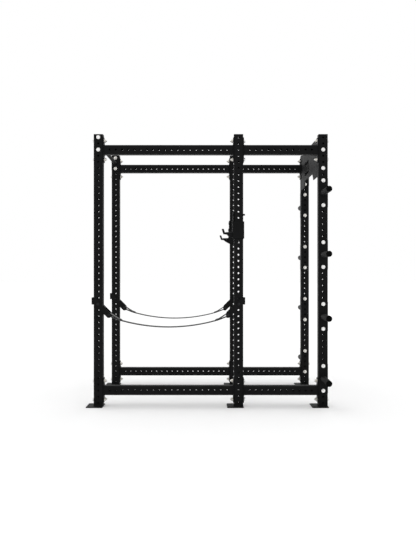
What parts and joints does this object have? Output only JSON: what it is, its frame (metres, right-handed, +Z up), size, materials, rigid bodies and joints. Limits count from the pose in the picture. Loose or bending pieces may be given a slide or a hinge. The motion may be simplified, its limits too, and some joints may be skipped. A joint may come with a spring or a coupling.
{
  "type": "power cage",
  "caption": "Six-upright steel power cage with perforated square tube, storage bay, plate pegs, J-cups and strap safeties.",
  "frame": {"origin": "middle of the footprint, on the floor", "axes": "+X from the open front to the storage end, +Y from the right side to the left side, +Z up"},
  "size_m": [1.9944, 1.8384, 2.2415],
  "materials": {
    "frame_black": "matt black powder coat with a fine texture",
    "bright_zinc": "bright zinc plating",
    "black_zinc": "black zinc plating, satin",
    "black_plastic": "moulded black plastic",
    "liner_plastic": "machined black polyethylene",
    "webbing": "woven dark grey webbing"
  },
  "bodies": {
    "frame": {"upright_front_right": "frame_black", "upright_front_left": "frame_black", "upright_mid_right": "frame_black", "upright_mid_left": "frame_black", "upright_rear_right": "frame_black", "upright_rear_left": "frame_black", "upright_caps": "black_plastic", "main_beam_top_right": "frame_black", "main_beam_top_left": "frame_black", "main_beam_bottom_right": "frame_black", "main_beam_bottom_left": "frame_black", "store_beam_top_right": "frame_black", "store_beam_top_left": "frame_black", "store_beam_bottom_right": "frame_black", "store_beam_bottom_left": "frame_black", "pull_up_bar": "frame_black", "rear_plate": "frame_black", "foot_front_right": "frame_black", "foot_front_left": "frame_black", "foot_mid_right": "frame_black", "foot_mid_left": "frame_black", "foot_rear_right": "frame_black", "foot_rear_left": "frame_black", "weight_peg_right_1": "frame_black", "weight_peg_right_2": "frame_black", "weight_peg_right_3": "frame_black", "weight_peg_right_4": "frame_black", "weight_peg_left_1": "frame_black", "weight_peg_left_2": "frame_black", "weight_peg_left_3": "frame_black", "weight_peg_left_4": "frame_black", "peg_end_caps": "black_plastic", "beam_bolts": "bright_zinc", "beam_washers": "bright_zinc", "beam_nuts": "bright_zinc", "cross_bolts": "bright_zinc", "cross_washers": "bright_zinc", "cross_nuts": "bright_zinc", "peg_bolts": "bright_zinc", "peg_washers": "bright_zinc", "peg_nuts": "bright_zinc", "strap_hanger_front_right": "frame_black", "strap_hanger_front_left": "frame_black", "strap_hanger_mid_right": "frame_black", "strap_hanger_mid_left": "frame_black", "strap_anchor_pins": "black_zinc", "strap_right": "webbing", "strap_left": "webbing"},
    "jcup_body_right": {"jcup_right": "frame_black", "jcup_liner_right": "liner_plastic", "jcup_pin_right": "black_zinc"},
    "jcup_body_left": {"jcup_left": "frame_black", "jcup_liner_left": "liner_plastic", "jcup_pin_left": "black_zinc"},
    "pin_front_right": {"hitch_pin_front_right": "black_zinc"},
    "pin_front_left": {"hitch_pin_front_left": "black_zinc"},
    "pin_mid_right": {"hitch_pin_mid_right": "black_zinc"},
    "pin_mid_left": {"hitch_pin_mid_left": "black_zinc"}
  },
  "joints": [
    {"name": "jcup_pull_right", "type": "slide", "parent": "frame", "child": "jcup_body_right", "axis": [-1, 0, 0], "range_m": [0, 0.11]},
    {"name": "jcup_pull_left", "type": "slide", "parent": "frame", "child": "jcup_body_left", "axis": [-1, 0, 0], "range_m": [0, 0.11]},
    {"name": "pin_pull_front_right", "type": "slide", "parent": "frame", "child": "pin_front_right", "axis": [0, -1, 0], "range_m": [0, 0.1]},
    {"name": "pin_pull_front_left", "type": "slide", "parent": "frame", "child": "pin_front_left", "axis": [0, 1, 0], "range_m": [0, 0.1]},
    {"name": "pin_pull_mid_right", "type": "slide", "parent": "frame", "child": "pin_mid_right", "axis": [0, -1, 0], "range_m": [0, 0.1]},
    {"name": "pin_pull_mid_left", "type": "slide", "parent": "frame", "child": "pin_mid_left", "axis": [0, 1, 0], "range_m": [0, 0.1]}
  ]
}
